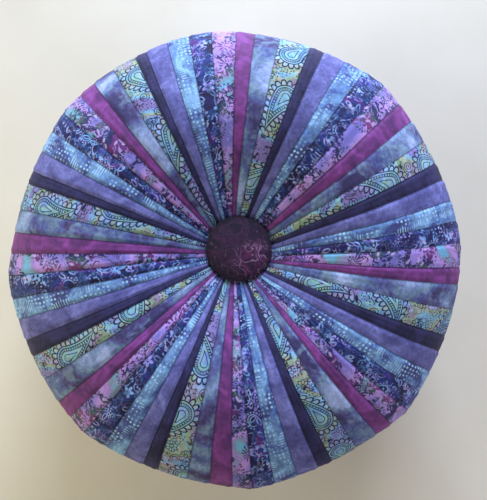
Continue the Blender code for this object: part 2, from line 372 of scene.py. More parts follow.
def sewSeams(piece):
    # seam lines, pressed edges, puckers and soft wrinkles, along each point's own normal
    mesh = piece.data
    corners = np.zeros(len(mesh.loops), np.int32)
    mesh.loops.foreach_get("vertex_index", corners)
    size = len(mesh.vertices)
    values = {}
    for name in ("cloth", "seams"):
        uv = np.zeros(len(mesh.loops) * 2, np.float32)
        mesh.uv_layers[name].data.foreach_get("uv", uv)
        values[name] = uv.reshape(-1, 2)
    fromLeft = np.full(size, 1.0)
    fromRight = np.full(size, 1.0)
    along = np.zeros(size)
    np.minimum.at(fromLeft, corners, values["seams"][:, 0])
    np.minimum.at(fromRight, corners, values["seams"][:, 1])
    along[corners] = values["cloth"][:, 0]
    marks = np.zeros(len(mesh.polygons), np.int32)
    mesh.polygons.foreach_get("material_index", marks)
    perFace = np.zeros(len(mesh.polygons), np.int32)
    mesh.polygons.foreach_get("loop_total", perFace)
    cornerMark = np.repeat(marks, perFace)
    atSection = np.zeros(size)
    first = (cornerMark == 0) & (values["seams"][:, 0] < 0.003)
    last = (cornerMark == perSection - 1) & (values["seams"][:, 1] < 0.003)
    atSection[corners[first | last]] = 1.0

    points = vertexArray(mesh)
    normals = vertexArray(mesh, "vertex_normals", "vector")
    radius = np.hypot(points[:, 0], points[:, 1])
    distance = np.minimum(fromLeft, fromRight)
    width = fromLeft + fromRight
    width = np.where(width > 0.5, 0.022, np.maximum(width, 0.0015))
    # nothing where the base cloth or the button hides it
    shown = smoothStep(points[:, 2], 0.002, 0.008) * smoothStep(radius, 0.024, 0.034)

    reach = np.minimum(cover["seamReach"], 0.20 * width)
    depth = cover["seamDepth"] * (1 - atSection) + cover["sectionSeamDepth"] * atSection
    depth = depth * np.minimum(1.0, width / 0.010)
    lift = -depth * np.exp(-((distance / reach) ** 2))
    onPressed = fromLeft < fromRight
    pressed = cover["pressedWidth"]
    edge = smoothStep(distance, 0.0006, 0.0020) * (1 - smoothStep(distance, pressed, pressed + 0.0025))
    lift += cover["pressedSide"] * edge * onPressed * np.minimum(1.0, width / 0.016)

    ripple = np.zeros(size)
    fold = np.zeros(size)
    turns = along * 1000 / cover["puckerSpacing"]
    folds = points * 1000 / np.array(cover["wrinkleSize"])
    for i in range(size):
        ripple[i] = noise.noise(Vector((turns[i], points[i, 0] * 25, points[i, 1] * 25)))
        fold[i] = noise.noise(Vector(folds[i]))
    close = np.exp(-distance / cover["puckerReach"])
    lift += cover["puckers"] * ripple * close * np.minimum(1.0, width / 0.012)
    lift += cover["wrinkles"] * fold * smoothStep(radius, 0.06, 0.20)
    lift *= shown
    points += normals * lift[:, None]
    mesh.vertices.foreach_set("co", points.astype(np.float32).ravel())
    mesh.update()
    mesh.shade_smooth()


sewSeams(cushion)
print("seams sewn:", len(cushion.data.polygons), "faces")


def clothPlace(tree):
    # a place on the cloth in millimetres: x along the strip from the button, y across it
    uv = addNode(tree, "UVMap", uv_map="cloth")
    return addNode(tree, "VectorMath", {0: uv, "Scale": 1000.0}, operation="SCALE")


def piecePlace(tree):
    # a place in the piece's own space, in millimetres
    coordinates = addNode(tree, "TexCoord", out=3)
    return addNode(tree, "VectorMath", {0: coordinates, "Scale": 1000.0}, operation="SCALE")


dyeRun = {
    "fineScale": 0.28,  # the finer layer of every dye, for each millimetre
    "fineShare": 0.16,
    "mottleFrom": 0.33,
    "mottleTo": 0.67,
}


def dyeNoise(tree, place, size, detail, warp):
    # how far the dye has run, patches of about size in millimetres; a second, finer layer on top
    run = {"Vector": place, "Scale": 1 / size, "Detail": detail, "Roughness": 0.55, "Distortion": warp}
    wide = addNode(tree, "TexNoise", run, **flatNoise)
    finer = {"Vector": place, "Scale": dyeRun["fineScale"], "Detail": 2.0}
    fine = addNode(tree, "TexNoise", finer, **flatNoise)
    share = dyeRun["fineShare"]
    lowered = addNode(tree, "Math", (wide, share / 2), operation="SUBTRACT")
    return addNode(tree, "Math", (fine, share, lowered), operation="MULTIPLY_ADD")


def dyed(tree, place, size, stops, detail=2.0, warp=0.5):
    # colours that run into each other
    return addNode(tree, "ValToRGB", (dyeNoise(tree, place, size, detail, warp),), stops=stops)


def patches(tree, place, size, level, soft, detail=1.0, warp=0.5):
    # 1 inside patches of about this size, whose share of the cloth is set by level
    run = dyeNoise(tree, place, size, detail, warp)
    return addNode(tree, "MapRange", (run, level - soft, level + soft), **softly)


def worn(tree, place, size, low, high, least, most):
    # how much of a print is left, from least to most, in patches of about this size
    return addNode(tree, "MapRange", (dyeNoise(tree, place, size, 1.0, 0.0), low, high, least, most))


def lineAt(tree, value, at, halfWidth, soft):
    # 1 where value is within halfWidth of at
    off = addNode(tree, "Math", (value, at), operation="SUBTRACT")
    size = addNode(tree, "Math", (off,), operation="ABSOLUTE")
    return addNode(tree, "MapRange", (size, halfWidth + soft, halfWidth - soft), **softly)


def brushLine(tree, place, size, halfWidth, warp):
    # a drawn line that wanders and swells, about size apart
    wander = {"Vector": place, "Scale": 1 / size, "Detail": 1.0, "Distortion": warp}
    path = addNode(tree, "TexNoise", wander, **flatNoise)
    return lineAt(tree, path, 0.5, halfWidth, 0.6 * halfWidth)


def allOf(tree, mask, *others):
    # 1 where every mask is 1
    for other in others:
        mask = addNode(tree, "Math", (mask, other), operation="MULTIPLY")
    return mask


def anyOf(tree, mask, *others):
    # 1 where at least one mask is 1
    for other in others:
        mask = addNode(tree, "Math", (mask, other), operation="MAXIMUM")
    return mask


def laidOver(tree, ground, mask, strength, colour):
    # colour over ground where mask is 1
    if isinstance(colour, str):
        colour = linearColour(colour)
    share = addNode(tree, "Math", (mask, strength), operation="MULTIPLY")
    return addNode(tree, "Mix", {0: share, 6: ground, 7: colour}, out=2, data_type="RGBA")


def mottled(tree, ground, place, size, least, most, warp=1.0):
    # lighter and darker leafy blotches, as the dye takes unevenly
    run = dyeNoise(tree, place, size, 3.0, warp)
    light = addNode(tree, "MapRange", (run, dyeRun["mottleFrom"], dyeRun["mottleTo"], least, most))
    return addNode(tree, "Mix", {0: 1.0, 6: ground, 7: light}, **multiplied)


def scatter(tree, place, size, jitter=0.8):
    # the place seen from the middle of its own cell, and a random colour for the cell
    spread = {"Vector": place, "Scale": 1.0 / size, "Randomness": jitter}
    cell = addNode(tree, "TexVoronoi", spread, out=2, **flatCells)
    local = addNode(tree, "VectorMath", (place, cell), operation="SUBTRACT")
    return local, cell.node.outputs[1]


def polar(tree, local, turnBy):
    # radius in millimetres, and turns from 0 to 1 round the middle
    radius = addNode(tree, "VectorMath", (local,), out=1, operation="LENGTH")
    x = addNode(tree, "SeparateXYZ", (local,))
    angle = addNode(tree, "Math", (x.node.outputs[1], x), operation="ARCTAN2")
    turns = addNode(tree, "Math", (angle, 1 / (2 * math.pi), turnBy), operation="MULTIPLY_ADD")
    return radius, turns


def spikes(tree, turns, count, halfWidth, soft):
    # count rays in each turn: 1 on each ray
    many = addNode(tree, "Math", (turns, count), operation="MULTIPLY")
    part = addNode(tree, "Math", (many, 1.0, 0.0), operation="WRAP")
    return lineAt(tree, part, 0.5, halfWidth, soft)


def leaves(tree, place, size, long, wide, jitter=0.9):
    # small oval marks, one in each cell, each turned its own way
    local, pick = scatter(tree, place, size, jitter)
    turn = addNode(tree, "Math", (addNode(tree, "SeparateXYZ", (pick,)), 6.28), operation="MULTIPLY")
    turned = addNode(tree, "VectorRotate", {"Vector": local, "Angle": turn}, rotation_type="Z_AXIS")
    scaled = addNode(tree, "VectorMath", (turned, (1 / long, 1 / wide, 0.0)), operation="MULTIPLY")
    reach = addNode(tree, "VectorMath", (scaled,), out=1, operation="LENGTH")
    return addNode(tree, "MapRange", (reach, 1.15, 0.75), **softly)


def flowers(tree, place, size, petals, heartRadius, petalLength):
    # how far outside a flower's edge a place lies, its place round the middle, its cell's colour
    local, pick = scatter(tree, place, size, 0.7)
    radius, turns = polar(tree, local, 0.1)
    angle = addNode(tree, "Math", (turns, petals * math.pi), operation="MULTIPLY")
    wave = addNode(tree, "Math", (angle,), operation="COSINE")
    lobes = addNode(tree, "Math", (wave,), operation="ABSOLUTE")
    edge = addNode(tree, "Math", (lobes, petalLength, heartRadius), operation="MULTIPLY_ADD")
    return addNode(tree, "Math", (radius, edge), operation="SUBTRACT"), radius, turns, pick


clothFinish = {
    "roughness": 0.72,
    "sheen": 0.03,
    "weavePitch": 0.9,  # millimetres: real quilting cotton is 0.35, too fine to show here
    "weaveDepth": 0.00010,
    "slubDepth": 1.5,  # thicker threads, against the weave
    "puckerDepth": 0.0007,
    "puckerReach": 0.006,  # metres from a seam
    "seamShade": 0.48,
    "seamHalfWidth": 0.0006,
}


def weave(tree, place):
    # over and under of a plain weave, from -1 to 1
    turn = 2 * math.pi / clothFinish["weavePitch"]
    threads = addNode(tree, "VectorMath", (place, (turn, turn, 0.0)), operation="MULTIPLY")
    waves = addNode(tree, "VectorMath", (threads,), operation="SINE")
    warp = addNode(tree, "SeparateXYZ", (waves,))
    return addNode(tree, "Math", (warp, warp.node.outputs[1]), operation="MULTIPLY")


def drawnNoise(tree, place, alongScale, acrossScale):
    # noise drawn out along the strip or across it, scales for each millimetre
    stretched = addNode(tree, "VectorMath", (place, (alongScale, acrossScale, 0.0)), operation="MULTIPLY")
    return addNode(tree, "TexNoise", {"Vector": stretched, "Scale": 1.0, "Detail": 1.0}, **flatNoise)


def finishCloth(material, tree, place, colour):
    # the thin shadow in each seam, the weave, slubs and small puckers, and the shader
    seams = addNode(tree, "UVMap", uv_map="seams")
    left = addNode(tree, "SeparateXYZ", (seams,))
    right = left.node.outputs[1]
    nearest = addNode(tree, "Math", (left, right), operation="MINIMUM")
    wide = clothFinish["seamHalfWidth"]
    dark = clothFinish["seamShade"]
    shade = addNode(tree, "MapRange", (nearest, 0.25 * wide, 1.6 * wide, dark, 1.0), **softly)
    coloured = addNode(tree, "Mix", {0: 1.0, 6: colour, 7: shade}, **multiplied)

    slubs = drawnNoise(tree, place, 0.12, 1.1)
    surface = addNode(
        tree, "Math", (slubs, clothFinish["slubDepth"], weave(tree, place)), operation="MULTIPLY_ADD"
    )
    fine = addNode(
        tree, "Bump", {"Strength": 0.6, "Distance": clothFinish["weaveDepth"], "Height": surface}
    )
    puckers = drawnNoise(tree, place, 0.22, 0.09)
    close = addNode(tree, "MapRange", (nearest, 0.0, clothFinish["puckerReach"], 1.0, 0.15))
    height = addNode(tree, "Math", (puckers, close), operation="MULTIPLY")
    bumped = addNode(
        tree,
        "Bump",
        {"Strength": 1.0, "Distance": clothFinish["puckerDepth"], "Height": height, "Normal": fine},
    )
    shader = addNode(
        tree,
        "BsdfPrincipled",
        {
            "Base Color": coloured,
            "Roughness": clothFinish["roughness"],
            "IOR": 1.46,
            "Specular IOR Level": 0.28,
            "Sheen Weight": clothFinish["sheen"],
            "Sheen Roughness": 0.5,
            "Normal": bumped,
        },
    )
    addNode(tree, "OutputMaterial", {"Surface": shader})
    return material


def finishSeamless(material, tree, place, colour, roughness, specular, sheen):
    # the weave and the shader of a cloth without strips
    threads = {"Strength": 0.5, "Distance": clothFinish["weaveDepth"], "Height": weave(tree, place)}
    shader = addNode(
        tree,
        "BsdfPrincipled",
        {
            "Base Color": colour,
            "Roughness": roughness,
            "IOR": 1.46,
            "Specular IOR Level": specular,
            "Sheen Weight": sheen,
            "Normal": addNode(tree, "Bump", threads),
        },
    )
    addNode(tree, "OutputMaterial", {"Surface": shader})
    return material


def startMaterial(name):
    material = bpy.data.materials.new(name)
    material.use_nodes = True
    material.node_tree.nodes.clear()
    return material, material.node_tree


# Each print's dyes, from where the dye ran least to where it ran most, and its sizes in
# millimetres
blossomPrint = {
    "lilacs": [
        (0.35, "#7d74c4"), (0.41, "#8f80d0"), (0.46, "#aa8cdc"), (0.51, "#bd98e2"),
        (0.56, "#c494dc"), (0.61, "#a083cc"), (0.66, "#82a0ae"), (0.72, "#74b4dc"),
    ],
    "indigos": [
        (0.36, "#6a2f74"), (0.43, "#2f285a"), (0.51, "#2a2f60"), (0.58, "#41605a"), (0.66, "#7c3a76"),
    ],
    "lilacSize": 46.0,
    "indigoSize": 40.0,
    "areaSize": 30.0,
    "fringeSpacing": 23.0,
    "fringeRays": 13.0,
    "scrollSpacing": 11.0,
    "fleckSpacing": 9.5,
}


def blossomCloth():
    # batik cotton, waxed by hand: lilac and indigo areas with feathered edges, dark fringes in
    # arcs, and pale scroll lines where the wax kept the dye out
    material, tree = startMaterial("blossomBatikCotton")
    place = clothPlace(tree)
    pale = dyed(tree, place, blossomPrint["lilacSize"], blossomPrint["lilacs"], 1.0)
    dark = dyed(tree, place, blossomPrint["indigoSize"], blossomPrint["indigos"])
    wide = dyeNoise(tree, place, blossomPrint["areaSize"], 1.0, 0.9)
    run = {"Vector": place, "Scale": 0.17, "Detail": 0.5, "Distortion": 2.4}
    feather = addNode(tree, "TexNoise", run, **flatNoise)
    edge = addNode(tree, "Math", (feather, 0.62, wide), operation="MULTIPLY_ADD")
    isDark = addNode(tree, "MapRange", (edge, 0.838, 0.882), **softly)

    local = scatter(tree, place, blossomPrint["fringeSpacing"])[0]
    radius, turns = polar(tree, local, 0.0)
    rays = spikes(tree, turns, blossomPrint["fringeRays"], 0.24, 0.12)
    bent = addNode(tree, "Math", (wide, 40.0, -10.5), operation="MULTIPLY_ADD")
    out = addNode(tree, "Math", (radius, bent), operation="SUBTRACT")
    fringe = allOf(tree, rays, lineAt(tree, out, 0.0, 2.6, 0.7))
    colour = laidOver(tree, pale, anyOf(tree, isDark, fringe), 0.98, dark)

    scroll = brushLine(tree, place, blossomPrint["scrollSpacing"], 0.022, 1.6)
    scroll = allOf(tree, scroll, patches(tree, place, 22.0, 0.50, 0.02))
    colour = laidOver(tree, colour, scroll, 0.65, "#b3a6e4")
    flecks = leaves(tree, place, blossomPrint["fleckSpacing"], 2.6, 1.3)
    flecks = allOf(tree, flecks, patches(tree, place, 30.0, 0.56, 0.03))
    colour = laidOver(tree, colour, flecks, 0.7, "#cdb6ee")
    return finishCloth(material, tree, place, colour)


# Plain quilting cottons: their dyes, the dye's patches (size, detail, warp), and the mottle that
# the dye bath leaves (size, least, most, warp)
plainCottons = {
    # a red violet with a tonal leafy mottle
    "magentaDyedCotton": (
        [(0.32, "#643572"), (0.45, "#763b7d"), (0.55, "#7f3d87"), (0.68, "#8b4796")],
        (24.0, 1.0, 1.2),
        (9.0, 0.86, 1.16, 1.0),
    ),
    # very dark: only its weave and folds show
    "aubergineDyedCotton": (
        [(0.35, "#262347"), (0.65, "#34305f")],
        (22.0, 2.0, 0.5),
        (7.0, 0.82, 1.20, 1.0),
    ),
    # a soft violet mottle
    "lavenderDyedCotton": (
        [(0.33, "#595895"), (0.45, "#6363a2"), (0.55, "#6d6cad"), (0.68, "#7c7ec0")],
        (26.0, 2.0, 0.8),
        (6.5, 0.80, 1.20, 1.4),
    ),
}


def plainCloth(name):
    material, tree = startMaterial(name)
    place = clothPlace(tree)
    dyes, (size, detail, warp), mottle = plainCottons[name]
    colour = dyed(tree, place, size, dyes, detail, warp)
    colour = mottled(tree, colour, place, *mottle)
    return finishCloth(material, tree, place, colour)


marblePrint = {
    "blues": [
        (0.34, "#413b6a"), (0.41, "#574f80"), (0.465, "#555f9f"), (0.51, "#65779e"),
        (0.56, "#7189a6"), (0.62, "#8598c6"), (0.70, "#a8b7e2"),
    ],
    "tints": [(0.38, "#5f4f88"), (0.48, "#6f7fb0"), (0.60, "#8faac0")],
    "blueSize": 54.0,
    "tintSize": 17.0,
    "tintSpacing": 20.0,
    "blotchSize": 8.0,
}


def marbleCloth():
    # cotton dyed wet in wet: watercolour areas from indigo to a pale blue, with leafy blotches
    material, tree = startMaterial("marbledCotton")
    place = clothPlace(tree)
    colour = dyed(tree, place, marblePrint["blueSize"], marblePrint["blues"], 1.0, 0.6)
    tint = dyed(tree, place, marblePrint["tintSize"], marblePrint["tints"], 2.0, 1.0)
    tinted = patches(tree, place, marblePrint["tintSpacing"], 0.52, 0.08)
    colour = laidOver(tree, colour, tinted, 0.45, tint)
    colour = mottled(tree, colour, place, marblePrint["blotchSize"], 0.84, 1.18, 1.5)
    return finishCloth(material, tree, place, colour)


paisleyPrint = {
    "grounds": [
        (0.36, "#8a7cb8"), (0.41, "#82a0d4"), (0.45, "#86bcd8"), (0.485, "#98c0bc"),
        (0.52, "#b4a696"), (0.555, "#86b88e"), (0.595, "#9c7f96"), (0.64, "#a9b6dc"), (0.69, "#7aaae0"),
    ],
    "insides": [(0.36, "#74a2e2"), (0.45, "#7cc2e0"), (0.53, "#88c4b0"), (0.62, "#94c4ec")],
    "petals": "#b4c6ea",
    "ink": "#221c40",
    "groundSize": 45.0,
    "insideSize": 16.0,
    "dropPitch": 68.0,
    "dropLength": 35.0,
    "dropGirth": 12.0,
    "dropAside": 24.0,  # how far apart across the strip the middles may lie
    "dropLean": 1.8,  # the range of their turns, in radians
    "dropBend": 0.010,
    "petalPitch": 4.9,
    "petalHalfWidth": 2.3,
    "petalReach": 4.6,
    "hatchPitch": 2.4,
    "flowerSpacing": 17.0,
    "dotSpacing": 3.3,
}


def teardrops(tree, place):
    # one teardrop in each pitch of the strip, each turned and set its own way: how far outside
    # its edge a place lies, and how far along its edge, in millimetres
    pitch = paisleyPrint["dropPitch"]
    length = paisleyPrint["dropLength"]
    girthMost = paisleyPrint["dropGirth"]
    aside = paisleyPrint["dropAside"]
    lean = paisleyPrint["dropLean"]
    u = addNode(tree, "SeparateXYZ", (place,))
    v = u.node.outputs[1]
    turn = addNode(tree, "Math", (u, pitch), operation="DIVIDE")
    number = addNode(tree, "Math", (turn,), operation="FLOOR")
    picks = addNode(tree, "TexWhiteNoise", {"W": number}, out=1, noise_dimensions="1D")
    pickX = addNode(tree, "SeparateXYZ", (picks,))
    pickY = pickX.node.outputs[1]
    pickZ = pickX.node.outputs[2]
    part = addNode(tree, "Math", (turn, number), operation="SUBTRACT")
    localX = addNode(tree, "Math", (part, pitch, -pitch / 2), operation="MULTIPLY_ADD")
    middle = addNode(tree, "Math", (pickX, aside, -aside / 2), operation="MULTIPLY_ADD")
    localY = addNode(tree, "Math", (v, middle), operation="SUBTRACT")
    either = addNode(tree, "Math", (pickZ, 0.5), operation="SUBTRACT")
    flip = addNode(tree, "Math", (either,), operation="SIGN")
    localX = addNode(tree, "Math", (localX, flip), operation="MULTIPLY")
    angle = addNode(tree, "Math", (pickY, lean, -lean / 2), operation="MULTIPLY_ADD")
    flat = addNode(tree, "CombineXYZ", (localX, localY))
    turned = addNode(tree, "VectorRotate", {"Vector": flat, "Angle": angle}, rotation_type="Z_AXIS")
    alongDrop = addNode(tree, "SeparateXYZ", (turned,))
    acrossDrop = alongDrop.node.outputs[1]

    x = addNode(tree, "Math", (alongDrop, 11.0), operation="ADD")  # from the round end's middle
    beyond = addNode(tree, "Math", (x, 0.0), operation="MAXIMUM")
    bend = addNode(tree, "Math", (beyond, beyond), operation="MULTIPLY")
    y = addNode(tree, "Math", (bend, -paisleyPrint["dropBend"], acrossDrop), operation="MULTIPLY_ADD")
    share = addNode(tree, "MapRange", (x, 0.0, length, 0.0, 1.0))
    axis = addNode(tree, "Math", (share, -length, x), operation="MULTIPLY_ADD")
    fromAxis = addNode(tree, "CombineXYZ", (axis, y))
    away = addNode(tree, "VectorMath", (fromAxis,), out=1, operation="LENGTH")
    girth = addNode(tree, "Math", (share, -girthMost, girthMost), operation="MULTIPLY_ADD")
    gap = addNode(tree, "Math", (away, girth), operation="SUBTRACT")

    before = addNode(tree, "Math", (x, 0.0), operation="MINIMUM")
    behind = addNode(tree, "Math", (before, -1.0), operation="MULTIPLY")
    sideways = addNode(tree, "Math", (y,), operation="ABSOLUTE")
    roundEnd = addNode(tree, "Math", (sideways, behind), operation="ARCTAN2")
    perimeter = addNode(tree, "Math", (roundEnd, girthMost + 1.0, beyond), operation="MULTIPLY_ADD")
    return gap, perimeter


def petalsRound(tree, gap, perimeter):
    # a scallop of petals outside each teardrop's edge: their outlines and their insides
    pitch = paisleyPrint["petalPitch"]
    half = paisleyPrint["petalHalfWidth"]
    reach = paisleyPrint["petalReach"]
    petal = addNode(tree, "Math", (perimeter, pitch, 0.0), operation="WRAP")
    across = addNode(tree, "Math", (petal, 1 / half, -pitch / 2 / half), operation="MULTIPLY_ADD")
    out = addNode(tree, "Math", (gap, 1 / reach, -1.3 / reach), operation="MULTIPLY_ADD")
    oval = addNode(tree, "CombineXYZ", (across, out))
    size = addNode(tree, "VectorMath", (oval,), out=1, operation="LENGTH")
    beyondEdge = addNode(tree, "MapRange", (gap, 0.3, 0.9))
    outline = allOf(tree, lineAt(tree, size, 0.95, 0.19, 0.09), beyondEdge)
    inside = allOf(tree, addNode(tree, "MapRange", (size, 1.0, 0.8)), beyondEdge)
    return outline, inside


def paisleyField(tree, place, gap):
    # flowers, curls, dots and leaf lines on the ground between the teardrops
    off, radius, turns, pick = flowers(tree, place, paisleyPrint["flowerSpacing"], 9, 4.6, 1.7)
    rays = allOf(tree, spikes(tree, turns, 9.0, 0.11, 0.06), lineAt(tree, radius, 4.0, 1.6, 0.3))
    edges = anyOf(tree, lineAt(tree, off, 0.0, 0.48, 0.22), lineAt(tree, radius, 2.0, 0.42, 0.2))
    coil = addNode(tree, "Math", (radius, 1 / 2.4, turns), operation="MULTIPLY_ADD")
    coilPart = addNode(tree, "Math", (coil, 1.0, 0.0), operation="WRAP")
    curlEnds = addNode(tree, "MapRange", (radius, 6.0, 5.4))
    curl = allOf(tree, lineAt(tree, coilPart, 0.5, 0.17, 0.09), curlEnds)
    choice = addNode(tree, "SeparateXYZ", (pick,))
    bloom = allOf(tree, anyOf(tree, edges, rays), addNode(tree, "MapRange", (choice, 0.44, 0.46)))
    curl = allOf(tree, curl, addNode(tree, "MapRange", (choice, 0.43, 0.41)))

    spread = {"Vector": place, "Scale": 1 / paisleyPrint["dotSpacing"], "Randomness": 0.55}
    cells = addNode(tree, "TexVoronoi", spread, **flatCells)
    dots = addNode(tree, "MapRange", (cells, 0.27, 0.16), **softly)
    clear = addNode(tree, "MapRange", (radius, 6.8, 7.2))
    dots = allOf(tree, dots, patches(tree, place, 19.0, 0.51, 0.01), clear)
    lines = allOf(tree, brushLine(tree, place, 9.0, 0.028, 1.2), patches(tree, place, 15.0, 0.515, 0.01))
    outside = addNode(tree, "MapRange", (gap, 6.4, 7.4))
    return allOf(tree, anyOf(tree, bloom, curl, dots, lines), outside)


def paisleyCloth():
    # screen-printed batik cotton: dark outlines over dye that runs from blue to aqua, green, tan
    # and lilac. Teardrops wider than a strip, so that most show as arcs with a scalloped edge.
    material, tree = startMaterial("paisleyPrintedCotton")
    place = clothPlace(tree)
    ground = dyed(tree, place, paisleyPrint["groundSize"], paisleyPrint["grounds"], 1.5, 0.8)
    inner = dyed(tree, place, paisleyPrint["insideSize"], paisleyPrint["insides"], 1.5)
    gap, perimeter = teardrops(tree, place)
    petalLine, petalFill = petalsRound(tree, gap, perimeter)
    pitches = addNode(tree, "Math", (perimeter, paisleyPrint["hatchPitch"]), operation="DIVIDE")
    hatch = allOf(tree, spikes(tree, pitches, 1.0, 0.22, 0.10), lineAt(tree, gap, -3.6, 0.95, 0.2))
    rims = lineAt(tree, gap, 0.0, 0.60, 0.22)
    for inset in (2.3, 5.1, 8.4):
        rims = anyOf(tree, rims, lineAt(tree, gap, -inset, 0.42, 0.20))

    inside = addNode(tree, "MapRange", (gap, 0.1, -0.3))
    colour = laidOver(tree, ground, inside, 0.6, inner)
    colour = laidOver(tree, colour, petalFill, 0.3, paisleyPrint["petals"])
    colour = mottled(tree, colour, place, 10.0, 0.84, 1.16)
    ink = anyOf(tree, rims, hatch, petalLine, paisleyField(tree, place, gap))
    ink = allOf(tree, ink, worn(tree, place, 12.0, 0.34, 0.46, 0.80, 1.0))
    colour = laidOver(tree, colour, ink, 1.0, paisleyPrint["ink"])
    return finishCloth(material, tree, place, colour)


dashesPrint = {
    "blues": [
        (0.34, "#474c86"), (0.41, "#5268a6"), (0.47, "#5f7fbe"), (0.53, "#6d8cb8"),
        (0.60, "#769fd2"), (0.70, "#90bcea"),
    ],
    "marks": "#b4daf6",
    "blueSize": 30.0,
    "dotSpacing": 4.1,
    "barPitch": 2.5,
    "laneHalfWidth": 3.6,  # half the bars' length
    "changeSize": 24.0,  # from dots to bars and back
}


def dashesCloth():
    # batik cotton in blues, with pale dots in rows and ladders of short bars left by the wax
    material, tree = startMaterial("dashedBatikCotton")
    place = clothPlace(tree)
    ground = dyed(tree, place, dashesPrint["blueSize"], dashesPrint["blues"], 3.0, 0.8)
    ground = mottled(tree, ground, place, 5.0, 0.80, 1.18, 1.0)
    where = dyeNoise(tree, place, dashesPrint["changeSize"], 0.0, 0.0)
    spread = {"Vector": place, "Scale": 1 / dashesPrint["dotSpacing"], "Randomness": 0.30}
    cells = addNode(tree, "TexVoronoi", spread, **flatCells)
    dots = addNode(tree, "MapRange", (cells, 0.36, 0.18), **softly)
    dots = allOf(tree, dots, addNode(tree, "MapRange", (where, 0.53, 0.50)))
    u = addNode(tree, "SeparateXYZ", (place,))
    pitches = addNode(tree, "Math", (u, dashesPrint["barPitch"]), operation="DIVIDE")
    bars = spikes(tree, pitches, 1.0, 0.20, 0.12)
    sway = dyeNoise(tree, place, 60.0, 0.0, 0.0)
    middle = addNode(tree, "Math", (sway, 40.0, -20.0), operation="MULTIPLY_ADD")
    across = addNode(tree, "Math", (u.node.outputs[1], middle), operation="SUBTRACT")
    lane = lineAt(tree, across, 0.0, dashesPrint["laneHalfWidth"], 0.5)
    bars = allOf(tree, bars, lane, addNode(tree, "MapRange", (where, 0.53, 0.55)))
    marks = allOf(tree, anyOf(tree, dots, bars), worn(tree, place, 11.0, 0.38, 0.58, 0.25, 1.0))
    colour = laidOver(tree, ground, marks, 0.95, dashesPrint["marks"])
    return finishCloth(material, tree, place, colour)


vinePrint = {
    "grounds": [
        (0.33, "#1c1942"), (0.40, "#2c2562"), (0.45, "#1d2152"), (0.50, "#2a4a86"),
        (0.55, "#25265e"), (0.61, "#2f3a90"), (0.68, "#562c78"),
    ],
    "marks": [(0.40, "#a3a0ee"), (0.50, "#94c0f6"), (0.58, "#cbbcf2"), (0.66, "#8cb8f2")],
    "groundSize": 24.0,
    "markSize": 22.0,
    "changeSize": 21.0,  # from scrolls to leaves and back
    "scrollSpacing": 13.0,
    "leafSpacing": 9.4,
    "seedSpacing": 3.8,
    "flowerSpacing": 17.5,
}


def vineCloth():
    # batik cotton, indigo and purple, with pale drawn scrolls, leaves, flowers and beads
    material, tree = startMaterial("vineBatikCotton")
    place = clothPlace(tree)
    ground = dyed(tree, place, vinePrint["groundSize"], vinePrint["grounds"], 2.0, 0.8)
    where = dyeNoise(tree, place, vinePrint["changeSize"], 0.5, 0.4)
    scrolls = brushLine(tree, place, vinePrint["scrollSpacing"], 0.024, 1.2)
    scrolls = allOf(tree, scrolls, addNode(tree, "MapRange", (where, 0.47, 0.51)))
    outer = leaves(tree, place, vinePrint["leafSpacing"], 4.3, 2.3)
    inner = leaves(tree, place, vinePrint["leafSpacing"], 2.9, 1.15)
    outlined = addNode(tree, "Math", (outer, inner), operation="SUBTRACT", use_clamp=True)
    outlined = allOf(tree, outlined, addNode(tree, "MapRange", (where, 0.51, 0.47)))
    seeds = leaves(tree, place, vinePrint["seedSpacing"], 1.1, 0.8, 0.5)
    seeds = allOf(tree, seeds, addNode(tree, "MapRange", (where, 0.56, 0.58)))

    off, radius, turns, pick = flowers(tree, place, vinePrint["flowerSpacing"], 5, 1.7, 3.9)
    choice = addNode(tree, "SeparateXYZ", (pick,))
    filled = addNode(tree, "MapRange", (off, 0.4, -0.4))
    heart = addNode(tree, "MapRange", (radius, 1.7, 1.1))
    bloom = addNode(tree, "Math", (filled, heart), operation="SUBTRACT", use_clamp=True)
    bloom = allOf(tree, bloom, addNode(tree, "MapRange", (choice, 0.50, 0.52)))
    beads = allOf(tree, spikes(tree, turns, 15.0, 0.25, 0.12), lineAt(tree, radius, 7.2, 0.7, 0.3))
    rings = anyOf(tree, lineAt(tree, radius, 5.2, 0.42, 0.25), beads)
    rings = allOf(tree, rings, addNode(tree, "MapRange", (choice, 0.36, 0.34)))

    marks = anyOf(tree, scrolls, outlined, seeds, bloom, rings)
    marks = allOf(tree, marks, worn(tree, place, 13.0, 0.40, 0.58, 0.20, 1.0))
    pale = dyed(tree, place, vinePrint["markSize"], vinePrint["marks"], 0.0)
    colour = laidOver(tree, ground, marks, 0.88, pale)
    colour = mottled(tree, colour, place, 8.0, 0.84, 1.18)
    return finishCloth(material, tree, place, colour)


plainDarkDyes = [(0.35, "#292438"), (0.65, "#332d46")]


def plainDarkCloth(name):
    # plain dark cotton sheeting, read from the piece's own place because it has no strips
    material, tree = startMaterial(name)
    place = piecePlace(tree)
    ground = dyed(tree, place, 25.0, plainDarkDyes)
    return finishSeamless(material, tree, place, ground, 0.9, 0.3, 0.0)


for material in (
    blossomCloth(),
    plainCloth("magentaDyedCotton"),
    marbleCloth(),
    paisleyCloth(),
    plainCloth("aubergineDyedCotton"),
    plainCloth("lavenderDyedCotton"),
    dashesCloth(),
    vineCloth(),
    plainDarkCloth("plainLiningCotton"),
):
    cushion.data.materials.append(material)
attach(cushion, "root")
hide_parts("cushion")
print("cloths made")

# Covered button: cloth drawn over a low dome and gathered under its edge
button = {
    "centre": (0.004, 0.012, 0.1923),
    "radius": 0.03175,
    "domeHeight": 0.0088,
    "domeRound": 1.15,
    "edgeHeight": 0.0042,
    "edgeRound": 0.45,
    "gatherFrom": 0.72,  # of the radius, where the pleats begin
    "pleats": 34,
    "pleatDepth": 0.00045,
}


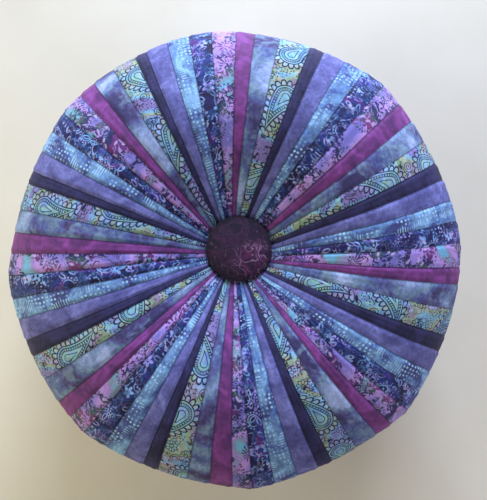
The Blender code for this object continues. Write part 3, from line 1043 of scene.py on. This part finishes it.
def makeButton():
    selectNothing()
    bpy.ops.mesh.primitive_uv_sphere_add(segments=128, ring_count=48, radius=button["radius"])
    piece = bpy.context.object
    piece.name = piece.data.name = "coveredButton"
    points = vertexArray(piece.data) / button["radius"]
    angle = np.arctan2(points[:, 1], points[:, 0])
    radial = np.hypot(points[:, 0], points[:, 1])
    upper = points[:, 2] > 0
    height = np.where(
        upper,
        button["edgeHeight"] + button["domeHeight"] * np.abs(points[:, 2]) ** button["domeRound"],
        button["edgeHeight"] * (1 - np.abs(points[:, 2]) ** button["edgeRound"]),
    )
    near = smoothStep(radial, button["gatherFrom"], 1.0)
    # uneven pleats: their spacing and their depth both vary round the edge
    wave = np.cos(button["pleats"] * angle + 1.3 * np.sin(3 * angle))
    wave *= 0.6 + 0.4 * np.sin(5 * angle + 1)
    out = button["radius"] * radial - button["pleatDepth"] * near * (1 + wave)
    points = np.column_stack([out * np.cos(angle), out * np.sin(angle), height])
    points += np.array(button["centre"])
    piece.data.vertices.foreach_set("co", points.astype(np.float32).ravel())
    piece.data.update()
    piece.data.shade_smooth()
    return piece


plumPrint = {
    "grounds": [(0.30, "#20182e"), (0.44, "#291a33"), (0.55, "#341c39"), (0.70, "#442045")],
    "purples": [(0.38, "#3a1e40"), (0.62, "#682a60")],
    "faintLines": "#8d7a98",
    "paleLines": "#b98ab4",
    "groundSize": 13.0,
    "purpleSize": 8.0,
    "faintSpacing": 13.0,
    "paleSpacing": 10.0,
    "corner": (15.0, -12.0, 0.0),  # where the purple and the pale lines are, from the middle
    "cornerReach": 27.0,
    # how dark the painted shade at the button's edge gets
    "rimShade": 0.60,
}


def buttonCloth():
    # dark plum batik cotton, drawn tight: faint purple patches, and pale drawn lines to one side
    material, tree = startMaterial("plumBatikCotton")
    place = piecePlace(tree)
    centre = (-1000 * button["centre"][0], -1000 * button["centre"][1], 0.0)
    place = addNode(tree, "VectorMath", (place, centre), operation="ADD")
    place = addNode(tree, "VectorMath", (place, (1.0, 1.0, 0.0)), operation="MULTIPLY")
    ground = dyed(tree, place, plumPrint["groundSize"], plumPrint["grounds"], 3.0, 1.4)
    corner = addNode(tree, "VectorMath", (place, plumPrint["corner"]), out=1, operation="DISTANCE")
    there = addNode(tree, "MapRange", (corner, plumPrint["cornerReach"], 5.0), **softly)
    purple = dyed(tree, place, plumPrint["purpleSize"], plumPrint["purples"])
    ground = laidOver(tree, ground, there, 0.75, purple)
    ground = mottled(tree, ground, place, 3.0, 0.80, 1.24)
    faint = brushLine(tree, place, plumPrint["faintSpacing"], 0.011, 1.2)
    ground = laidOver(tree, ground, faint, 0.20, plumPrint["faintLines"])
    pale = allOf(tree, brushLine(tree, place, plumPrint["paleSpacing"], 0.020, 0.8), there)
    ground = laidOver(tree, ground, pale, 0.75, plumPrint["paleLines"])
    # painted shade: the cloth drawn darker towards the button's edge, where the dome turns down
    radius = addNode(tree, "VectorMath", (place,), out=1, operation="LENGTH")
    rim = addNode(tree, "MapRange", (radius, 24.0, 31.0, 1.0, plumPrint["rimShade"]), **softly)
    ground = addNode(tree, "Mix", {0: 1.0, 6: ground, 7: rim}, **multiplied)
    return finishSeamless(material, tree, place, ground, 0.75, 0.32, 0.1)


coveredButton = makeButton()
coveredButton.data.materials.append(buttonCloth())
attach(coveredButton, "root")
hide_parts("top_button")
print("button made")

# Base: a plain round of cloth with a turned hem
basePanel = {
    "radius": 0.172,
    "thickness": 0.002,
    "edge": 0.0008,
    "hem": 0.010,
    "stitch": 0.0006,
    "stitchDepth": 0.0004,
}


def makeBase():
    selectNothing()
    bpy.ops.mesh.primitive_cylinder_add(
        vertices=192,
        radius=basePanel["radius"],
        depth=basePanel["thickness"],
        location=(0.0, 0.0, basePanel["thickness"] / 2),
    )
    piece = bpy.context.object
    piece.name = piece.data.name = "basePanel"
    bpy.ops.object.transform_apply(location=True, rotation=True, scale=True)
    bpy.ops.object.mode_set(mode="EDIT")
    bpy.ops.mesh.select_all(action="DESELECT")
    bpy.ops.object.mode_set(mode="OBJECT")
    for face in piece.data.polygons:
        face.select = abs(face.normal.z) > 0.9
    bpy.ops.object.mode_set(mode="EDIT")
    bpy.ops.mesh.select_mode(type="FACE")
    bpy.ops.mesh.inset(thickness=basePanel["edge"], depth=0.0)
    bpy.ops.mesh.inset(thickness=basePanel["hem"], depth=0.0)
    bpy.ops.mesh.inset(thickness=basePanel["stitch"], depth=-basePanel["stitchDepth"])
    bpy.ops.object.mode_set(mode="OBJECT")
    piece.data.shade_smooth()
    return piece


base = makeBase()
base.data.materials.append(plainDarkCloth("plainBaseCotton"))
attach(base, "root")
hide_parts("base_panel")
print("base made")

# Plain pale floor and soft light: most of it cool and low from beyond the seat, a little from
# either side, and a weak warm light from the near left. Each light's place and size are metres
# and its energy is watts.
studio = {
    "lights": [
        ("windowLight", (0.15, 1.50, 0.62), 0.8, 54.0, "#d6e6ff"),
        ("leftLight", (-0.86, -0.08, 0.50), 0.6, 4.8, "#f4f0d4"),
        ("rightLight", (1.12, -0.46, 0.60), 0.6, 5.4, "#f4f2ff"),
        ("nearLight", (-0.80, -0.84, 0.42), 0.9, 2.8, "#f4e8a8"),
    ],
    "surround": "#e6e8f0",
    "surroundStrength": 0.195,
    "floorSize": 12.0,
    "floorTones": [(0.3, "#d8cebc"), (0.7, "#e0d7c7")],
    "aim": (0.0, 0.0, 0.15),
}
selectNothing()
bpy.ops.mesh.primitive_plane_add(size=studio["floorSize"], location=(0.0, 0.0, -0.0005))
floor = bpy.context.object
floor.name = "floor"
floorMaterial, floorTree = startMaterial("palePaintedFloor")
floorPlace = addNode(floorTree, "TexCoord", out=3)
grain = addNode(floorTree, "TexNoise", {"Vector": floorPlace, "Scale": 6.0, "Detail": 4.0})
tone = addNode(floorTree, "ValToRGB", (grain,), stops=studio["floorTones"])
floorShader = addNode(floorTree, "BsdfPrincipled", {"Base Color": tone, "Roughness": 0.6, "IOR": 1.45})
addNode(floorTree, "OutputMaterial", {"Surface": floorShader})
floor.data.materials.append(floorMaterial)

world = bpy.data.worlds.new("surround")
bpy.context.scene.world = world
world.use_nodes = True
world.node_tree.nodes["Background"].inputs["Color"].default_value = linearColour(studio["surround"])
world.node_tree.nodes["Background"].inputs["Strength"].default_value = studio["surroundStrength"]

for name, place, size, energy, colour in studio["lights"]:
    bpy.ops.object.light_add(type="AREA", location=place)
    light = bpy.context.object
    light.name = name
    light.data.energy = energy
    light.data.size = size
    light.data.color = linearColour(colour)[:3]
    aim = Vector(studio["aim"]) - Vector(place)
    light.rotation_euler = aim.to_track_quat("-Z", "Y").to_euler()
bpy.context.scene.view_settings.view_transform = "Standard"
print("studio set")
